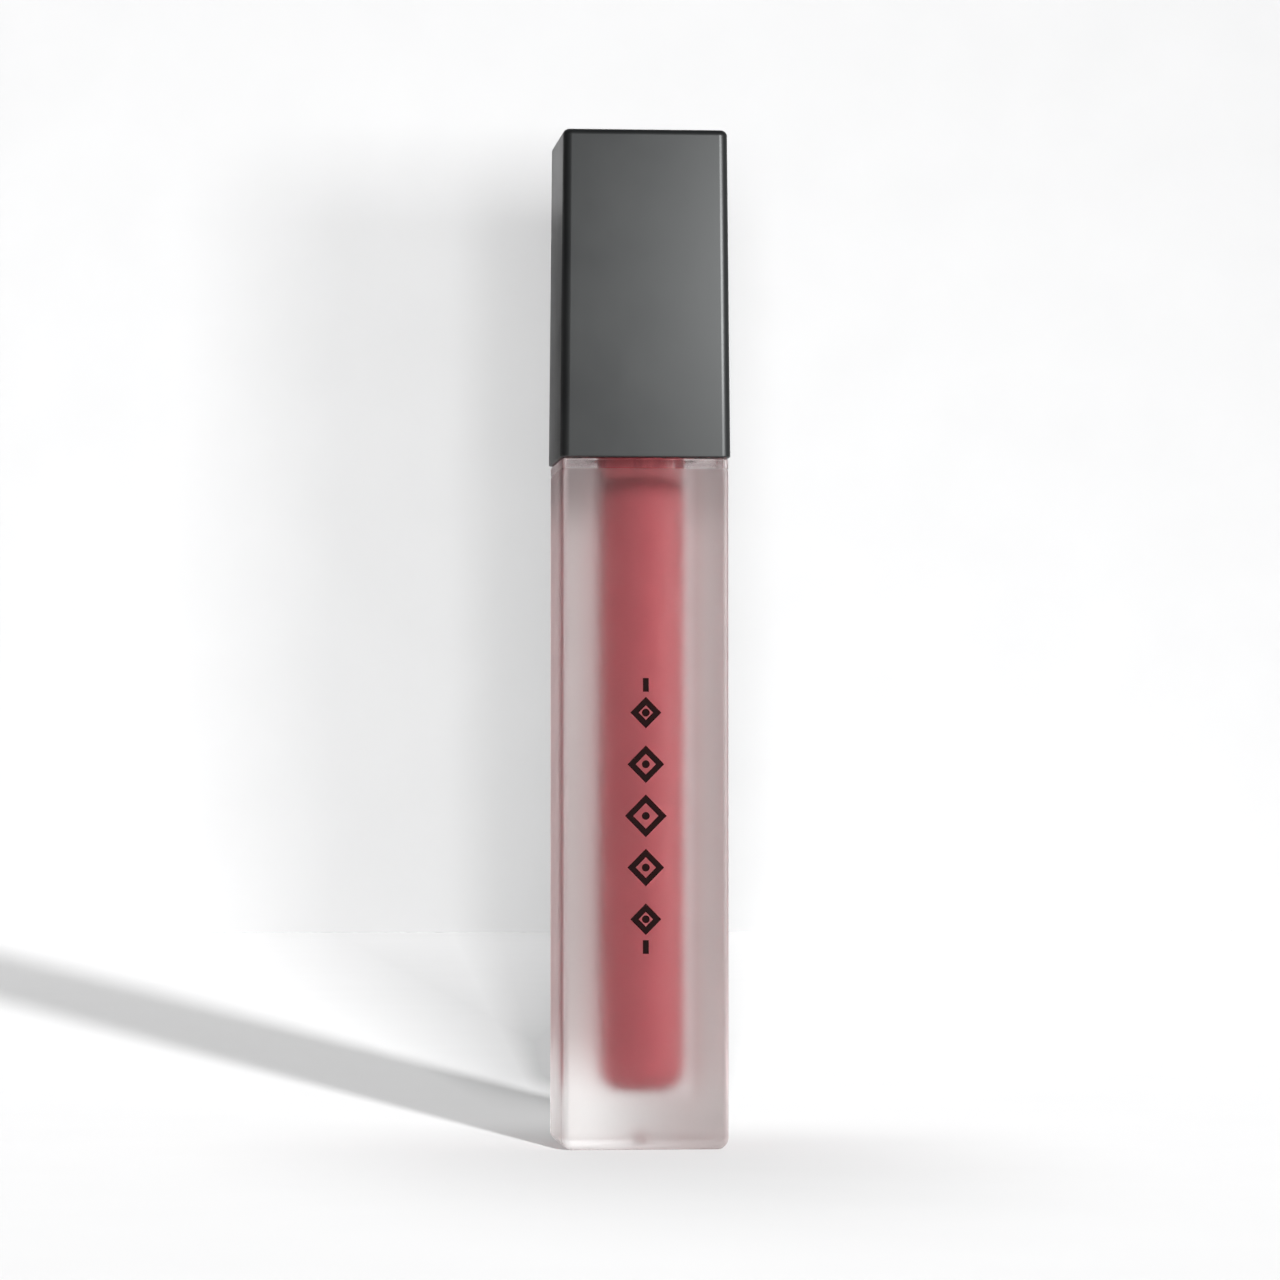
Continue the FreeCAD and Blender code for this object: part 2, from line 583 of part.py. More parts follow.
NODES = [bottle, liquid, wiper, seal, outer, inner, stem, core, flock]
for o in NODES:
    o.Placement = FreeCAD.Placement(FreeCAD.Vector(0, 0, 0), FreeCAD.Rotation(0, 0, 0))
doc.recompute()
for o in doc.Objects:
    if "Invalid" in o.State or "Error" in o.State:
        raise RuntimeError("%s: %s" % (o.Name, o.State))
os.makedirs("parts", exist_ok=True)
for o in NODES:
    shape = o.Shape
    if shape.isNull() or not shape.isValid() or shape.Volume <= 0:
        raise RuntimeError(o.Label + " is not a valid solid")
    if len(shape.Solids) != 1:
        raise RuntimeError("%s has %d solids" % (o.Label, len(shape.Solids)))
    shape.exportStep("parts/%s.step" % o.Label)
    b = shape.BoundBox
    print("%-18s %9.2f mm3  x %.2f..%.2f  y %.2f..%.2f  z %.2f..%.2f" % (
        o.Label, shape.Volume, b.XMin, b.XMax, b.YMin, b.YMax, b.ZMin, b.ZMax))
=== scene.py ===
import math

import bmesh
import bpy
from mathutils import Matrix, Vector


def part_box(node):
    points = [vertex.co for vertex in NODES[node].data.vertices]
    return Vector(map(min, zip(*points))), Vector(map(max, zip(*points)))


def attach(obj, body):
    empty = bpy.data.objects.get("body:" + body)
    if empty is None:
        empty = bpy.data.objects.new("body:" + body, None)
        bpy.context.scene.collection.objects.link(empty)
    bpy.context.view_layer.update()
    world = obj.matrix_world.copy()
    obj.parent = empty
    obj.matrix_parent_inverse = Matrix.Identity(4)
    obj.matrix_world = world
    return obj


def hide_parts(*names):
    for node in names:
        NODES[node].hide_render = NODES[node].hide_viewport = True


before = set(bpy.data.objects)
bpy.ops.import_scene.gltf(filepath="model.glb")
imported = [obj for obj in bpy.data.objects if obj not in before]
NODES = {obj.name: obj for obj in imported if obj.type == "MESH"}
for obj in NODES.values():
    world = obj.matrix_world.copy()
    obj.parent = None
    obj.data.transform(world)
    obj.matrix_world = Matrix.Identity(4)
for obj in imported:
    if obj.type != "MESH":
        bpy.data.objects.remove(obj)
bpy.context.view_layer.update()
MM = 0.001

scene = bpy.context.scene
scene.view_settings.view_transform = "Standard"
scene.view_settings.look = "None"

b_lo, b_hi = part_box("bottle")
c_lo, c_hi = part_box("outer_cap")
l_lo, l_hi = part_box("lipstick_liquid")
w_lo, w_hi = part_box("wiper")
HALF = b_hi.x
SHOULDER = c_lo.z - 0.12 * MM
CAVITY_R = l_hi.x + 0.02 * MM
CAVITY_FLOOR = l_lo.z - 0.02 * MM
LEVEL = l_hi.z
NECK_TOP = b_hi.z


# ---------------------------------------------------------------- node helpers
def material(name):
    m = bpy.data.materials.new(name)
    m.use_nodes = True
    nt = m.node_tree
    nt.nodes.clear()
    return m, nt


def add(nt, kind, **inputs):
    n = nt.nodes.new(kind)
    for k, v in inputs.items():
        if k.startswith("_"):
            setattr(n, k[1:], v)
        else:
            n.inputs[k.replace("__", " ")].default_value = v
    return n


def coords(nt):
    return add(nt, "ShaderNodeTexCoord").outputs["Object"]


def noise(nt, co, scale, detail=2.0, rough=0.5, stretch=None, distortion=0.0):
    if stretch is not None:
        mp = add(nt, "ShaderNodeMapping")
        mp.inputs["Scale"].default_value = stretch
        nt.links.new(co, mp.inputs["Vector"])
        co = mp.outputs["Vector"]
    n = add(nt, "ShaderNodeTexNoise")
    n.inputs["Scale"].default_value = scale
    n.inputs["Detail"].default_value = detail
    n.inputs["Roughness"].default_value = rough
    n.inputs["Distortion"].default_value = distortion
    nt.links.new(co, n.inputs["Vector"])
    return n.outputs["Fac"]


def remap(nt, value, a, b, c, d, smooth=False):
    n = add(nt, "ShaderNodeMapRange")
    if smooth:
        n.interpolation_type = "SMOOTHSTEP"
    n.inputs["From Min"].default_value = a
    n.inputs["From Max"].default_value = b
    n.inputs["To Min"].default_value = c
    n.inputs["To Max"].default_value = d
    nt.links.new(value, n.inputs["Value"])
    return n.outputs["Result"]


def maths(nt, op, a, b=None, c=None):
    n = add(nt, "ShaderNodeMath", _operation=op)
    for i, v in enumerate((a, b, c)):
        if v is None:
            continue
        if isinstance(v, (int, float)):
            n.inputs[i].default_value = v
        else:
            nt.links.new(v, n.inputs[i])
    return n.outputs[0]


def mix_colour(nt, fac, a, b):
    n = add(nt, "ShaderNodeMix", _data_type="RGBA")
    for i, v in ((0, fac), (6, a), (7, b)):
        if isinstance(v, bpy.types.NodeSocket):
            nt.links.new(v, n.inputs[i])
        else:
            n.inputs[i].default_value = v
    return n.outputs[2]


def split(nt, co):
    n = add(nt, "ShaderNodeSeparateXYZ")
    nt.links.new(co, n.inputs[0])
    return n.outputs


def bump(nt, height, strength, distance, normal=None):
    n = add(nt, "ShaderNodeBump")
    n.inputs["Strength"].default_value = strength
    n.inputs["Distance"].default_value = distance
    nt.links.new(height, n.inputs["Height"])
    if normal is not None:
        nt.links.new(normal, n.inputs["Normal"])
    return n.outputs["Normal"]


def principled(nt, **inputs):
    p = add(nt, "ShaderNodeBsdfPrincipled")
    for k, v in inputs.items():
        sock = p.inputs[k.replace("__", " ")]
        if isinstance(v, bpy.types.NodeSocket):
            nt.links.new(v, sock)
        else:
            sock.default_value = v
    out = add(nt, "ShaderNodeOutputMaterial")
    nt.links.new(p.outputs[0], out.inputs["Surface"])
    return p


def srgb(text):
    v = [int(text[i:i + 2], 16) / 255 for i in (0, 2, 4)]
    return tuple((c / 12.92 if c <= 0.04045 else ((c + 0.055) / 1.055) ** 2.4) for c in v) + (1.0,)


# ---------------------------------------------------------------- materials
def satin_black():
    m, nt = material("satin_black_cap")
    co = coords(nt)
    grain = noise(nt, co, 9000.0, 2.0, 0.6)
    cloud = noise(nt, co, 160.0, 3.0, 0.55)
    drag = noise(nt, co, 420.0, 4.0, 0.65, stretch=(1.0, 1.0, 0.12))
    rough = maths(nt, "ADD", remap(nt, cloud, 0.3, 0.7, 0.385, 0.415), remap(nt, drag, 0.35, 0.75, -0.012, 0.016))
    col = mix_colour(nt, remap(nt, cloud, 0.3, 0.7, 0.0, 1.0), (0.0085, 0.0090, 0.0095, 1), (0.0115, 0.0120, 0.0122, 1))
    nrm = bump(nt, grain, 0.06, 0.00003)
    principled(nt, Base__Color=col, Roughness=rough, Normal=nrm, IOR=1.52, Specular__IOR__Level=0.5)
    return m


def liner_black():
    m, nt = material("black_liner_plastic")
    co = coords(nt)
    cloud = noise(nt, co, 300.0, 3.0, 0.6)
    fine = noise(nt, co, 5000.0, 2.0, 0.5)
    col = mix_colour(nt, cloud, (0.010, 0.010, 0.011, 1), (0.020, 0.020, 0.021, 1))
    nrm = bump(nt, fine, 0.12, 0.00003)
    principled(nt, Base__Color=col, Roughness=remap(nt, cloud, 0.3, 0.7, 0.42, 0.54), Normal=nrm, IOR=1.49)
    return m


def stem_black():
    m, nt = material("black_stem_plastic")
    co = coords(nt)
    z = split(nt, co)[2]
    smear = noise(nt, co, 500.0, 4.0, 0.6, stretch=(1.0, 1.0, 0.18))
    # Liquid left on the rod below the wiper, thinning upwards.
    wet = maths(nt, "MULTIPLY", remap(nt, z, 0.026, 0.070, 0.62, 0.30), remap(nt, smear, 0.42, 0.60, 0.0, 1.0, True))
    wet = maths(nt, "MULTIPLY", wet, remap(nt, z, 0.0680, 0.0700, 1.0, 0.0, True))
    col = mix_colour(nt, wet, (0.012, 0.012, 0.013, 1), (0.42, 0.085, 0.10, 1))
    nrm = bump(nt, smear, 0.25, 0.00008)
    principled(nt, Base__Color=col, Roughness=remap(nt, smear, 0.3, 0.7, 0.16, 0.30), Normal=nrm, IOR=1.49)
    return m


def seal_white():
    m, nt = material("white_seal_foam")
    co = coords(nt)
    cells = add(nt, "ShaderNodeTexVoronoi")
    cells.inputs["Scale"].default_value = 9000.0
    nt.links.new(co, cells.inputs["Vector"])
    cloud = noise(nt, co, 700.0, 3.0, 0.6)
    col = mix_colour(nt, cloud, (0.72, 0.70, 0.67, 1), (0.84, 0.83, 0.80, 1))
    nrm = bump(nt, cells.outputs["Distance"], 0.3, 0.00004)
    principled(nt, Base__Color=col, Roughness=remap(nt, cloud, 0.3, 0.7, 0.55, 0.7), Normal=nrm, IOR=1.5)
    return m


def wiper_natural():
    m, nt = material("natural_wiper_plastic")
    co = coords(nt)
    z = split(nt, co)[2]
    smear = noise(nt, co, 700.0, 4.0, 0.6)
    wet = maths(nt, "MULTIPLY", remap(nt, z, w_lo.z, w_hi.z, 0.95, 0.25), remap(nt, smear, 0.40, 0.62, 0.15, 1.0, True))
    col = mix_colour(nt, wet, (0.78, 0.75, 0.70, 1), (0.50, 0.12, 0.14, 1))
    nrm = bump(nt, smear, 0.2, 0.00005)
    principled(nt, Base__Color=col, Roughness=remap(nt, smear, 0.3, 0.7, 0.28, 0.42), Normal=nrm, IOR=1.5,
               Subsurface__Weight=0.3, Subsurface__Scale=0.001)
    return m


def tip_core():
    m, nt = material("white_tip_core")
    co = coords(nt)
    cloud = noise(nt, co, 900.0, 3.0, 0.6)
    col = mix_colour(nt, remap(nt, cloud, 0.4, 0.65, 0.0, 0.8), (0.74, 0.71, 0.67, 1), (0.55, 0.16, 0.18, 1))
    principled(nt, Base__Color=col, Roughness=remap(nt, cloud, 0.3, 0.7, 0.4, 0.55), Normal=bump(nt, cloud, 0.2, 0.00005), IOR=1.48)
    return m


def flock_stained():
    m, nt = material("stained_nylon_flock")
    co = coords(nt)
    z = split(nt, co)[2]
    fibre = noise(nt, co, 16000.0, 2.0, 0.7)
    clump = noise(nt, co, 1500.0, 3.0, 0.6)
    wet = remap(nt, clump, 0.35, 0.65, 0.55, 1.0)
    wet = maths(nt, "MULTIPLY", wet, remap(nt, z, 0.0235, 0.0252, 1.0, 0.25, True))
    col = mix_colour(nt, wet, (0.70, 0.62, 0.58, 1), (0.45, 0.085, 0.105, 1))
    n1 = bump(nt, clump, 0.5, 0.00012)
    n2 = bump(nt, fibre, 0.9, 0.00006, n1)
    principled(nt, Base__Color=col, Roughness=remap(nt, clump, 0.3, 0.7, 0.45, 0.85), Normal=n2, IOR=1.45, Sheen__Weight=0.35)
    return m


def frosted_bottle():
    m, nt = material("frosted_wall_painted_light")
    co = coords(nt)
    x, y, z = split(nt, co)
    # Distance from the axis tells the cavity and neck from the frosted outside.
    rad = maths(nt, "SQRT", maths(nt, "ADD", maths(nt, "MULTIPLY", x, x), maths(nt, "MULTIPLY", y, y)))
    inside = remap(nt, rad, CAVITY_R + 1.4 * MM, CAVITY_R + 2.4 * MM, 1.0, 0.0)
    inside = maths(nt, "MULTIPLY", inside, remap(nt, z, CAVITY_FLOOR - 1.5 * MM, CAVITY_FLOOR - 0.5 * MM, 0.0, 1.0))
    ax, ay = maths(nt, "ABSOLUTE", x), maths(nt, "ABSOLUTE", y)
    flank = remap(nt, ax, HALF - 0.5 * MM, HALF - 0.15 * MM, 0.0, 1.0)
    band = remap(nt, z, SHOULDER - 1.12 * MM, SHOULDER - 1.0 * MM, 0.0, 1.0)
    band = maths(nt, "MULTIPLY", band, remap(nt, flank, 0.0, 1.0, 1.0, 0.35))
    smooth = maths(nt, "MAXIMUM", inside, band)
    cloud = noise(nt, co, 260.0, 3.0, 0.55)
    grain = noise(nt, co, 11000.0, 2.0, 0.6)
    frost = remap(nt, cloud, 0.3, 0.7, 0.44, 0.50)
    rough = add(nt, "ShaderNodeMix", _data_type="FLOAT")
    nt.links.new(smooth, rough.inputs[0])
    nt.links.new(frost, rough.inputs[2])
    rough.inputs[3].default_value = 0.20
    # Tint of the milky wall, with painted light and shade in it: painted light makes it clearer and brighter in front
    # of the column, gives a painted pink glow beside it and a painted glow brighter towards the foot; painted shade
    # darkens it under the cap and near the face edges.
    lat = maths(nt, "MINIMUM", ax, ay)
    plain = mix_colour(nt, cloud, (0.61, 0.548, 0.538, 1), (0.66, 0.594, 0.584, 1))
    # Painted pink glow of the lit liquid beside the column and on the side faces, weaker near the base.
    pink_glow = maths(nt, "MAXIMUM", remap(nt, lat, 4.9 * MM, 7.6 * MM, 1.0, 0.0, True), maths(nt, "MULTIPLY", flank, 0.75))
    pink_glow = maths(nt, "MULTIPLY", pink_glow, remap(nt, z, 3.0 * MM, 9.0 * MM, 0.30, 1.0, True))
    tint_with_painted_light = mix_colour(nt, pink_glow, plain, (0.56, 0.395, 0.392, 1))
    # Painted light: the wall tint is clearer and brighter in front of the column.
    clear = maths(nt, "MULTIPLY", remap(nt, lat, 3.8 * MM, 5.4 * MM, 1.0, 0.0, True), remap(nt, flank, 0.0, 1.0, 1.0, 0.0))
    clear = maths(nt, "MULTIPLY", clear, remap(nt, z, CAVITY_FLOOR - 1.5 * MM, CAVITY_FLOOR + 1.5 * MM, 0.0, 1.0, True))
    tint_with_painted_light = mix_colour(nt, clear, tint_with_painted_light, (0.93, 0.86, 0.86, 1))
    # Painted glow: the tint is brighter towards the foot, most on the left.
    foot_glow = remap(nt, z, 12.5 * MM, 3.0 * MM, 0.0, 1.0, True)
    foot_glow = maths(nt, "MULTIPLY", foot_glow, remap(nt, x, -6.0 * MM, 6.5 * MM, 1.0, 0.06, True))
    tint_with_painted_light = mix_colour(nt, foot_glow, tint_with_painted_light, (0.98, 0.96, 0.95, 1))
    # Painted shade under the cap: darker below the shoulder, more on the left, little in front of the column.
    cap_shade = remap(nt, z, SHOULDER - 9.5 * MM, SHOULDER - 1.5 * MM, 0.0, 1.0, True)
    cap_shade = maths(nt, "MULTIPLY", cap_shade, remap(nt, x, -7.0 * MM, 7.0 * MM, 0.80, 0.42))
    cap_shade = maths(nt, "MULTIPLY", cap_shade, remap(nt, clear, 0.0, 1.0, 1.0, 0.10))
    tint_with_painted_light = mix_colour(nt, cap_shade, tint_with_painted_light, (0.20, 0.155, 0.155, 1))
    tint_with_painted_light = mix_colour(nt, maths(nt, "MULTIPLY", band, 0.42), tint_with_painted_light, (0.92, 0.87, 0.87, 1))
    # Painted shade: the tint is darker near the outer edges of the faces, fading out at the foot.
    rim_shade = remap(nt, lat, HALF - 0.80 * MM, HALF - 0.30 * MM, 0.0, 0.8, True)
    rim_shade = maths(nt, "MULTIPLY", rim_shade, remap(nt, foot_glow, 0.0, 0.8, 1.0, 0.0))
    tint_with_painted_light = mix_colour(nt, rim_shade, tint_with_painted_light, (0.42, 0.335, 0.335, 1))
    # Faint blush round the gate mark in the base.
    gate = maths(nt, "MULTIPLY", remap(nt, rad, 0.9 * MM, 2.6 * MM, 1.0, 0.0, True), remap(nt, z, 2.2 * MM, 3.4 * MM, 1.0, 0.0, True))
    tint_with_painted_light = mix_colour(nt, maths(nt, "MULTIPLY", gate, 0.85), tint_with_painted_light, (0.55, 0.40, 0.39, 1))
    nrm = bump(nt, grain, 0.05, 0.00002)
    principled(nt, Base__Color=tint_with_painted_light, Roughness=rough.outputs[0], Normal=nrm, IOR=1.5, Transmission__Weight=1.0)
    return m


def liquid_pink():
    m, nt = material("pink_lip_liquid")
    co = coords(nt)
    swirl = noise(nt, co, 220.0, 3.0, 0.55, distortion=0.8)
    pig = noise(nt, co, 7000.0, 2.0, 0.6)
    col = mix_colour(nt, remap(nt, swirl, 0.3, 0.7, 0.0, 1.0), (0.67, 0.122, 0.150, 1), (0.73, 0.145, 0.172, 1))
    nrm = bump(nt, pig, 0.03, 0.00002)
    principled(nt, Base__Color=col, Roughness=remap(nt, swirl, 0.3, 0.7, 0.30, 0.42), Normal=nrm, IOR=1.45,
               Subsurface__Weight=0.0)
    return m


def liquid_film():
    m, nt = material("liquid_film_on_wall")
    co = coords(nt)
    z = split(nt, co)[2]
    runs = noise(nt, co, 420.0, 4.0, 0.6, stretch=(1.0, 1.0, 0.3), distortion=0.6)
    thin = maths(nt, "MULTIPLY", remap(nt, z, LEVEL, LEVEL + 3.5 * MM, 1.0, 0.75), remap(nt, runs, 0.36, 0.60, 0.62, 1.0, True))
    p = principled(nt, Base__Color=(0.80, 0.190, 0.215, 1), Roughness=0.35, IOR=1.45, Normal=bump(nt, runs, 0.2, 0.00005))
    nt.links.new(thin, p.inputs["Alpha"])
    return m


def ink_dark():
    m, nt = material("dark_print_ink")
    co = coords(nt)
    screen = noise(nt, co, 6000.0, 3.0, 0.6)
    col = mix_colour(nt, screen, (0.012, 0.0045, 0.0045, 1), (0.026, 0.009, 0.009, 1))
    principled(nt, Base__Color=col, Roughness=remap(nt, screen, 0.3, 0.7, 0.60, 0.75), Normal=bump(nt, screen, 0.15, 0.00002), IOR=1.4,
               Specular__IOR__Level=0.12)
    return m


def stage_white(name, glow, shades=()):
    """White stage that glows a little. shades: (x, half width, share) of front lights whose soft shadow behind the tube
    is painted into the glow, with a painted contact shade round the tube's foot.
    """
    m, nt = material(name)
    co = coords(nt)
    fine = noise(nt, co, 40.0, 3.0, 0.5)
    col = mix_colour(nt, fine, (0.34, 0.34, 0.342, 1), (0.36, 0.36, 0.362, 1))
    p = principled(nt, Base__Color=col, Roughness=0.9, IOR=1.4, Specular__IOR__Level=0.1,
                   Emission__Color=(1.0, 1.0, 1.0, 1), Emission__Strength=glow)
    if shades:
        # Painted shadow: the glow is lowered where the front softboxes' shadow of the tube would fall, fading in behind
        # the tube and stronger towards the wall.
        x, y, z = split(nt, co)
        behind = maths(nt, "MAXIMUM", y, 0.001)
        centre = maths(nt, "DIVIDE", maths(nt, "MULTIPLY", x, LIGHT_Y), behind)
        reach = maths(nt, "MULTIPLY", maths(nt, "DIVIDE", maths(nt, "SUBTRACT", behind, LIGHT_Y), behind), HALF)
        painted_shadow = None
        for lx, half_w, share in shades:
            off = maths(nt, "ABSOLUTE", maths(nt, "SUBTRACT", centre, lx))
            cover = maths(nt, "DIVIDE", maths(nt, "SUBTRACT", maths(nt, "ADD", reach, half_w), off), 2 * half_w)
            cover = maths(nt, "MULTIPLY", maths(nt, "MAXIMUM", maths(nt, "MINIMUM", cover, 1.0), 0.0), share)
            painted_shadow = cover if painted_shadow is None else maths(nt, "ADD", painted_shadow, cover)
        painted_shadow = maths(nt, "MULTIPLY", painted_shadow, remap(nt, y, 0.05, 0.16, 0.0, 1.0, True))
        painted_shadow = maths(nt, "MULTIPLY", painted_shadow, remap(nt, y, 0.30, WALL_Y, 0.92, 1.22))
        # Painted contact shade round the tube's foot, reaching far in front and fading out behind it.
        deep = maths(nt, "MULTIPLY", y, 0.33)
        away = maths(nt, "SQRT", maths(nt, "ADD", maths(nt, "MULTIPLY", x, x), maths(nt, "MULTIPLY", deep, deep)))
        painted_contact_shade = maths(nt, "MULTIPLY", remap(nt, away, 0.004, 0.052, 0.19, 0.0, True), remap(nt, y, -0.005, 0.05, 1.0, 0.0, True))
        painted_shadow = maths(nt, "MAXIMUM", painted_shadow, painted_contact_shade)
        # The far front of the floor, where the low lamp gives less, glows more.
        front = remap(nt, y, -0.26, -0.66, 0.0, 0.42, True)
        nt.links.new(maths(nt, "ADD", maths(nt, "MAXIMUM", maths(nt, "SUBTRACT", glow, painted_shadow), 0.0), front), p.inputs["Emission Strength"])
    return m


# ---------------------------------------------------------------- mesh helpers
def mesh_object(name, bm, mat, smooth=True):
    me = bpy.data.meshes.new(name)
    bm.normal_update()
    bm.to_mesh(me)
    bm.free()
    me.materials.append(mat)
    for p in me.polygons:
        p.use_smooth = smooth
    o = bpy.data.objects.new(name, me)
    scene.collection.objects.link(o)
    return o


def lathe(name, profile, mat, steps=160, closed=True):
    """Turns (radius, z) points round the Z axis. Points with radius 0 become poles."""
    bm = bmesh.new()
    rings = []
    for r, z in profile:
        if r < 1e-9:
            rings.append([bm.verts.new((0, 0, z))])
        else:
            rings.append([bm.verts.new((r * math.cos(2 * math.pi * i / steps), r * math.sin(2 * math.pi * i / steps), z))
                          for i in range(steps)])
    pairs = list(zip(rings, rings[1:]))
    if closed:
        pairs.append((rings[-1], rings[0]))
    for a, b in pairs:
        for i in range(steps):
            j = (i + 1) % steps
            if len(a) == 1 and len(b) == 1:
                break
            if len(a) == 1:
                bm.faces.new((a[0], b[j], b[i]))
            elif len(b) == 1:
                bm.faces.new((a[i], a[j], b[0]))
            else:
                bm.faces.new((a[i], a[j], b[j], b[i]))
    bmesh.ops.recalc_face_normals(bm, faces=bm.faces)
    return mesh_object(name, bm, mat)


def arc(cx, cz, r, a0, a1, n):
    return [(cx + r * math.cos(math.radians(a0 + (a1 - a0) * i / n)), cz + r * math.sin(math.radians(a0 + (a1 - a0) * i / n)))
            for i in range(n + 1)]


# ---------------------------------------------------------------- CAD nodes get their materials
def dress(node, mat):
    o = NODES[node]
    o.data.materials.clear()
    o.data.materials.append(mat)
    for p in o.data.polygons:
        p.material_index = 0
    return o


dress("bottle", frosted_bottle())
dress("outer_cap", satin_black())
dress("inner_cap", liner_black())
dress("stem", stem_black())
dress("seal_ring", seal_white())
dress("wiper", wiper_natural())
dress("applicator_core", tip_core())
dress("flocking", flock_stained())

# ---------------------------------------------------------------- liquid column, wetting the cavity wall
R = CAVITY_R + 0.03 * MM
FLOOR = CAVITY_FLOOR - 0.03 * MM
BORE = 2.45 * MM
profile = [(0.0, FLOOR)]
profile += arc(R - 2.43 * MM, FLOOR + 2.43 * MM, 2.43 * MM, -90, 0, 18)
profile += [(R, FLOOR + (LEVEL - FLOOR) * t) for t in (0.2, 0.4, 0.6, 0.8, 0.97)]
profile += [(R, LEVEL + 0.25 * MM), (R - 0.12 * MM, LEVEL + 0.10 * MM), (R - 0.35 * MM, LEVEL + 0.02 * MM),
            (R - 0.7 * MM, LEVEL), (BORE + 0.4 * MM, LEVEL - 0.01 * MM), (BORE + 0.1 * MM, LEVEL - 0.06 * MM), (BORE, LEVEL - 0.2 * MM)]
profile += [(BORE, 0.030), (BORE, 0.0086), (BORE - 0.15 * MM, 0.0078), (BORE - 0.6 * MM, 0.0073), (0.0, 0.0072)]
liquid = lathe("liquid_column", profile, liquid_pink(), closed=False)
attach(liquid, "bottle")
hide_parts("lipstick_liquid")

film = lathe("liquid_film", [(R, LEVEL + 0.2 * MM), (R, LEVEL + 1.5 * MM), (R, LEVEL + 3.6 * MM),
                             (R - 0.07 * MM, LEVEL + 3.6 * MM), (R - 0.07 * MM, LEVEL + 1.5 * MM), (R - 0.07 * MM, LEVEL + 0.2 * MM)],
             liquid_film())
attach(film, "bottle")


# ---------------------------------------------------------------- plain ornament printed on the front
def print_shape(bm, outer, inner=None, depth=0.02 * MM):
    """Flat printed shape on the front face, its outline given as (x, z) loops; inner is a hole of as many points."""
    yf = -HALF - 0.004 * MM
    y1 = yf - depth

    def ring(loop, yy):
        return [bm.verts.new((px, yy, pz)) for px, pz in loop]

    n = len(outer)
    of, ob = ring(outer, y1), ring(outer, yf)
    if inner is None:
        bm.faces.new(of)
        bm.faces.new(list(reversed(ob)))
        for i in range(n):
            j = (i + 1) % n
            bm.faces.new((of[i], ob[i], ob[j], of[j]))
        return
    nf, nb = ring(inner, y1), ring(inner, yf)
    for i in range(n):
        j = (i + 1) % n
        bm.faces.new((of[i], of[j], nf[j], nf[i]))
        bm.faces.new((ob[j], ob[i], nb[i], nb[j]))
        bm.faces.new((of[i], ob[i], ob[j], of[j]))
        bm.faces.new((nf[j], nb[j], nb[i], nf[i]))


def lozenge(cz, w, h, n=1):
    return [(0, cz + h / 2), (w / 2, cz), (0, cz - h / 2), (-w / 2, cz)]


def disc(cz, r, n=28, cx=0.0):
    return [(cx + r * math.sin(2 * math.pi * i / n), cz + r * math.cos(2 * math.pi * i / n)) for i in range(n)]


PRINT_LOW, PRINT_HIGH, PRINT_W = 20.1 * MM, 48.4 * MM, 4.3 * MM
bm = bmesh.new()
mid = (PRINT_LOW + PRINT_HIGH) / 2
t = 0.60 * MM
step = 5.3 * MM
for k in (-2, -1, 0, 1, 2):
    cz = mid + k * step
    w = PRINT_W if k == 0 else (PRINT_W * (0.88 if abs(k) == 1 else 0.74))
    h = w * 1.02
    k2 = (w - 2 * t * math.sqrt(2)) / w
    print_shape(bm, lozenge(cz, w, h), lozenge(cz, w * k2, h * k2))
    print_shape(bm, disc(cz, 0.40 * MM))
for s in (-1, 1):
    z0 = mid + s * (2 * step + PRINT_W * 0.37 + 0.55 * MM)
    z1 = PRINT_HIGH if s > 0 else PRINT_LOW
    lo, hi = min(z0, z1), max(z0, z1)
    print_shape(bm, [(-t / 2, lo), (-t / 2, hi), (t / 2, hi), (t / 2, lo)])
bmesh.ops.recalc_face_normals(bm, faces=bm.faces)
ornament = mesh_object("front_print", bm, ink_dark(), smooth=False)
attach(ornament, "bottle")

# ---------------------------------------------------------------- camera
CAM = Vector((-0.0509, -0.5735, 0.0355))
AIM = Vector((-0.00059, -0.0085, 0.05231))
cam_data = bpy.data.cameras.new("camera")
cam_data.sensor_width = 36.0
cam_data.lens = 155.35
cam_data.clip_start = 0.01
cam = bpy.data.objects.new("camera", cam_data)
scene.collection.objects.link(cam)
cam.location = CAM
cam.rotation_euler = (AIM - CAM).to_track_quat("-Z", "Y").to_euler()
scene.camera = cam

# ---------------------------------------------------------------- floor and backdrop
floor_coll = bpy.data.collections.new("floor_only")
wall_coll = bpy.data.collections.new("wall_only")
shell_coll = bpy.data.collections.new("cap_shell_only")
tube_coll = bpy.data.collections.new("tube_only")
wand_coll = bpy.data.collections.new("wand_only")
for coll in (floor_coll, wall_coll, shell_coll, tube_coll, wand_coll):
    scene.collection.children.link(coll)
shell_coll.objects.link(NODES["outer_cap"])
for o in (NODES["bottle"], liquid, film, ornament):
    tube_coll.objects.link(o)
for n in ("inner_cap", "stem", "seal_ring", "wiper", "applicator_core", "flocking"):
    wand_coll.objects.link(NODES[n])
WALL_Y = 0.95
LIGHT_Y = -0.62
FLOOR_GLOW, WALL_GLOW = 0.48, 0.06
# x, width and share of the three small softboxes beside the camera; the floor's painted shadow is drawn from them too
FRONT = ((-0.001, 0.029, 0.18), (-0.030, 0.029, 0.20), (-0.050, 0.029, 0.38))


